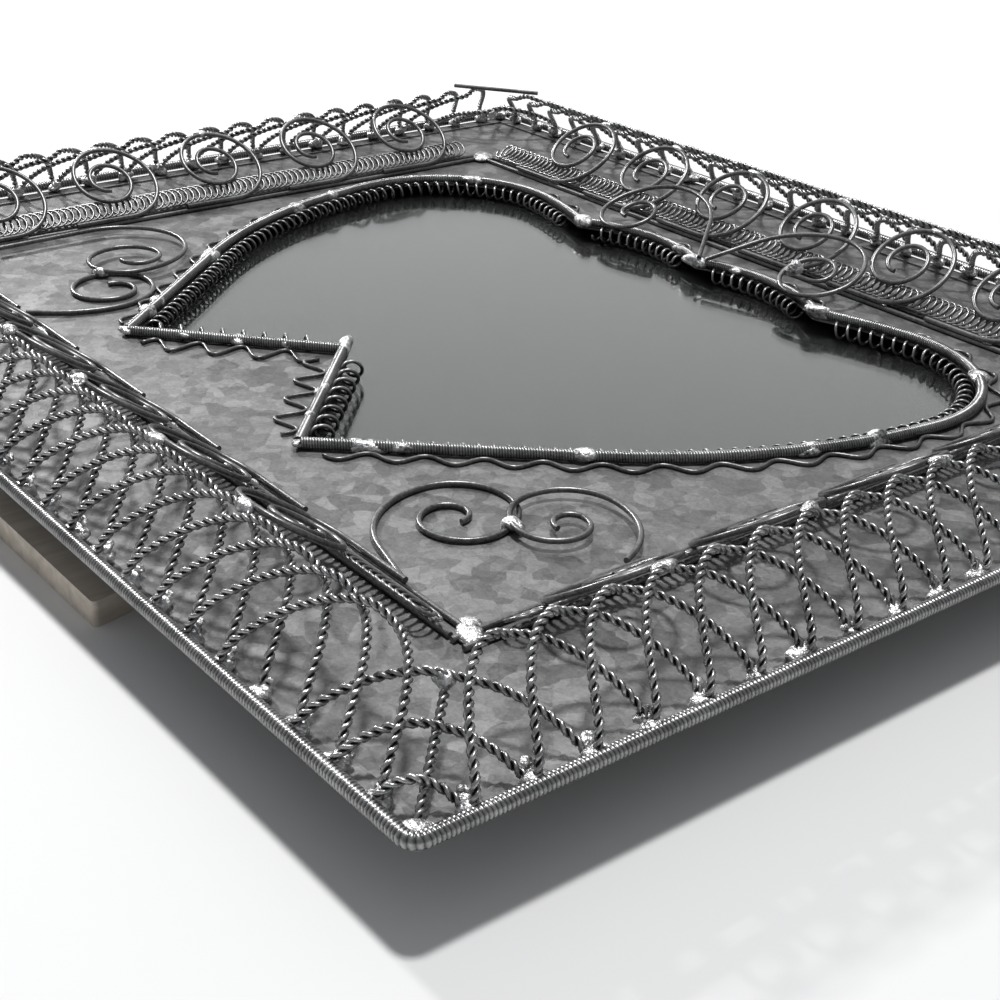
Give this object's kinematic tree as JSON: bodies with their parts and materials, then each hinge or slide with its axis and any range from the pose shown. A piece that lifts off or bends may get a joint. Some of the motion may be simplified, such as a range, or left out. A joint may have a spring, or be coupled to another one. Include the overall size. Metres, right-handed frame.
{
  "type": "picture frame",
  "caption": "Tin display frame with a heart opening, wire lattice border, scrolled wire ornament, glass and a hinged easel strut.",
  "frame": {"origin": "middle of the frame, on the surface that it lies on", "axes": "+X to the right and +Y to the top of the frame as it stands, +Z out of its front"},
  "size_m": [0.3076, 0.2568, 0.0311],
  "materials": {
    "tin": "spangled satin",
    "dark_wire": "dark, worn bright on top",
    "plain_wire": "dull",
    "solder": "bright, lumpy",
    "glass": "polished",
    "black_card": "matt",
    "board": "painted black",
    "black_wood": "painted black",
    "raw_wood": "raw, sanded",
    "plated_steel": "dull plated"
  },
  "bodies": {
    "frame": {"tin_panel": "tin", "rim_core": "dark_wire", "rim_winding": "dark_wire", "rim_solder": "solder", "lattice_right": "dark_wire", "lattice_top": "dark_wire", "lattice_left": "dark_wire", "lattice_bottom": "dark_wire", "lattice_corner_top_right": "dark_wire", "lattice_corner_top_left": "dark_wire", "lattice_corner_bottom_left": "dark_wire", "lattice_corner_bottom_right": "dark_wire", "corner_tie": "plain_wire", "side_scrolls_right": "plain_wire", "side_scrolls_top": "plain_wire", "side_scrolls_left": "plain_wire", "side_scrolls_bottom": "plain_wire", "coil_strip_right": "dark_wire", "coil_strip_top": "dark_wire", "coil_strip_left": "dark_wire", "coil_strip_bottom": "dark_wire", "base_wires_right": "plain_wire", "base_wires_top": "plain_wire", "base_wires_left": "plain_wire", "base_wires_bottom": "plain_wire", "slope_solder": "solder", "heart_core": "dark_wire", "heart_winding": "dark_wire", "heart_coil": "dark_wire", "waved_wire": "plain_wire", "heart_solder": "solder", "corner_scrolls": "plain_wire", "corner_scroll_solder": "solder", "centre_scrolls": "plain_wire", "centre_bead": "solder", "glass_pane": "glass", "display_card": "black_card", "back_board": "board", "rail_top": "black_wood", "rail_bottom": "black_wood", "rail_left": "black_wood", "rail_right": "black_wood", "rail_tabs": "tin", "turn_button_screws": "plated_steel", "hinge_leaf_board": "plated_steel", "hinge_pin": "plated_steel", "hinge_screws_board": "plated_steel"},
    "easel": {"easel_strut": "raw_wood", "hinge_leaf_strut": "plated_steel", "hinge_screws_strut": "plated_steel"},
    "button_upper_right": {"turn_button_upper_right": "plated_steel"},
    "button_lower_right": {"turn_button_lower_right": "plated_steel"},
    "button_upper_left": {"turn_button_upper_left": "plated_steel"},
    "button_lower_left": {"turn_button_lower_left": "plated_steel"}
  },
  "joints": [
    {"name": "easel_hinge", "type": "hinge", "parent": "frame", "child": "easel", "pos_m": [0, 0.0453, 0.00435], "axis": [1, 0, 0], "range_deg": [0, 35]},
    {"name": "button_turn_upper_right", "type": "hinge", "parent": "frame", "child": "button_upper_right", "pos_m": [0.11925, 0.05, 0.005], "axis": [0, 0, 1], "range_deg": [-90, 90]},
    {"name": "button_turn_lower_right", "type": "hinge", "parent": "frame", "child": "button_lower_right", "pos_m": [0.11925, -0.05, 0.005], "axis": [0, 0, 1], "range_deg": [-90, 90]},
    {"name": "button_turn_upper_left", "type": "hinge", "parent": "frame", "child": "button_upper_left", "pos_m": [-0.11925, 0.05, 0.005], "axis": [0, 0, 1], "range_deg": [-90, 90]},
    {"name": "button_turn_lower_left", "type": "hinge", "parent": "frame", "child": "button_lower_left", "pos_m": [-0.11925, -0.05, 0.005], "axis": [0, 0, 1], "range_deg": [-90, 90]}
  ]
}
